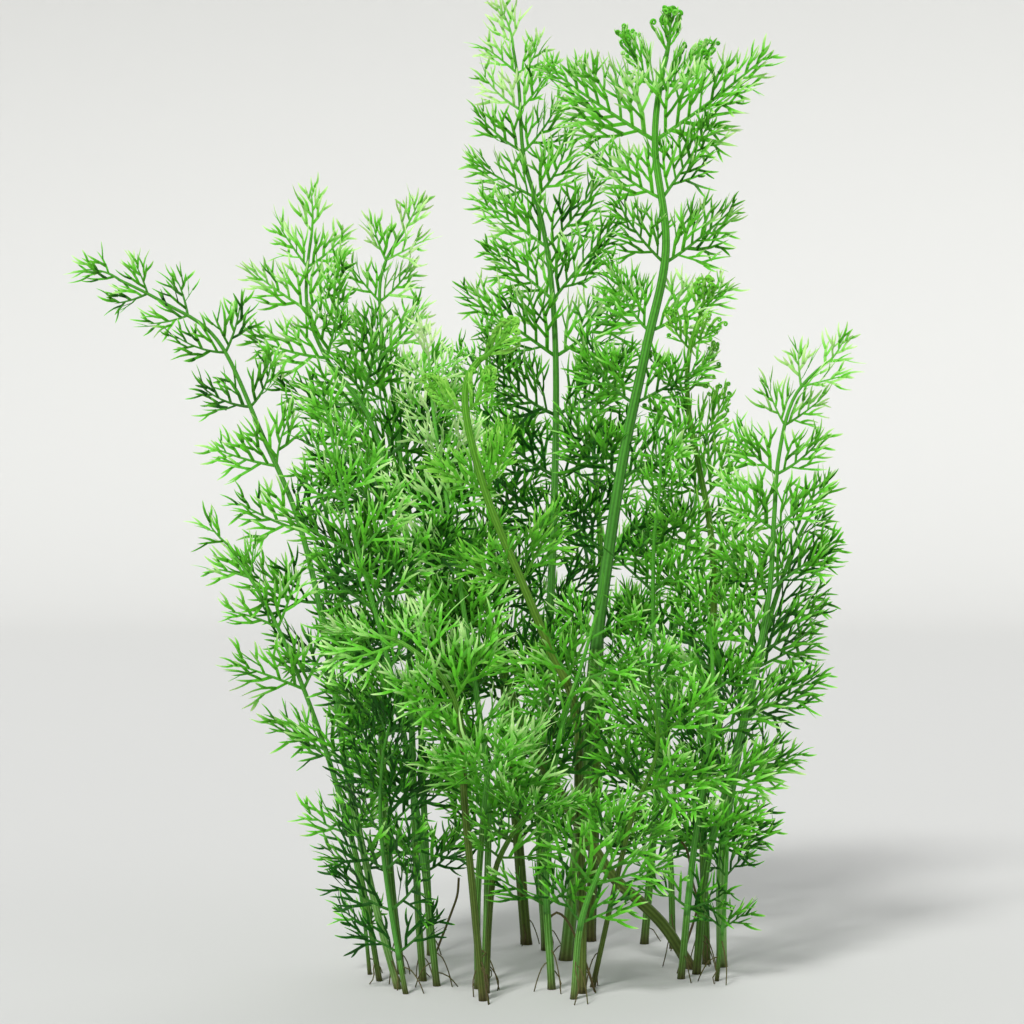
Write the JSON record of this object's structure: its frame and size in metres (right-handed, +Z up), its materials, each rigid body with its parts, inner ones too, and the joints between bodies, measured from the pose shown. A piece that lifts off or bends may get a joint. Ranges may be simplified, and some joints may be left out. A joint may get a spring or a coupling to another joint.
{
  "type": "water plant",
  "caption": "Bushy clump of water sprite, an aquarium fern: upright green stalks with feathery, finely divided fronds, cut flat at the foot to stand by itself.",
  "frame": {"origin": "centre of the flat cut at the foot of the tallest frond, on the surface the clump stands on", "axes": "+Z up along the fronds, -Y towards the viewer of the picture, +X to the right"},
  "size_m": [0.2676, 0.1985, 0.3503],
  "materials": {
    "leaf": "living fern leaf, soft green with a slight waxy sheen",
    "young_leaf": "young curled fern leaf, brighter yellow-green",
    "stalk": "smooth ribbed green fern stalk",
    "old_stalk": "older fern stalk, olive-brown"
  },
  "bodies": {
    "root": {"tall_centre_stipe": "stalk", "tall_centre_blade": "leaf", "tall_centre_branch_left": "leaf", "tall_centre_branch_right": "leaf", "tall_back_stipe": "stalk", "tall_back_blade": "leaf", "tall_back_branch_left": "leaf", "tall_back_branch_right": "leaf", "far_left_stipe": "stalk", "far_left_blade": "leaf", "left_tall_stipe": "stalk", "left_tall_blade": "leaf", "left_inner_stipe": "stalk", "left_inner_blade": "leaf", "left_edge_stipe": "stalk", "left_edge_blade": "leaf", "left_front_stipe": "stalk", "left_front_blade": "leaf", "left_back_stipe": "stalk", "left_back_blade": "leaf", "pale_centre_stipe": "stalk", "pale_centre_blade": "leaf", "crozier_stipe": "old_stalk", "crozier_blade": "young_leaf", "arching_stipe": "old_stalk", "arching_blade": "leaf", "rosette_stipe": "stalk", "rosette_blade": "leaf", "low_rosette_stipe": "old_stalk", "low_rosette_blade": "leaf", "low_left_stipe": "stalk", "low_left_blade": "leaf", "low_centre_stipe": "stalk", "low_centre_blade": "leaf", "low_right_stipe": "stalk", "low_right_blade": "leaf", "right_front_stipe": "old_stalk", "right_front_blade": "leaf", "right_middle_stipe": "stalk", "right_middle_blade": "leaf", "right_inner_stipe": "stalk", "right_inner_blade": "leaf", "right_crozier_stipe": "stalk", "right_crozier_blade": "young_leaf", "right_tall_stipe": "stalk", "right_tall_blade": "leaf", "right_edge_stipe": "stalk", "right_edge_blade": "leaf", "leaning_stipe": "old_stalk", "leaning_blade": "leaf", "back_left_stipe": "old_stalk", "back_left_blade": "leaf", "back_middle_stipe": "old_stalk", "back_middle_blade": "leaf", "back_right_stipe": "stalk", "back_right_blade": "leaf", "sprout_left_stipe": "stalk", "sprout_left_blade": "leaf", "sprout_right_stipe": "stalk", "sprout_right_blade": "leaf"}
  },
  "joints": []
}
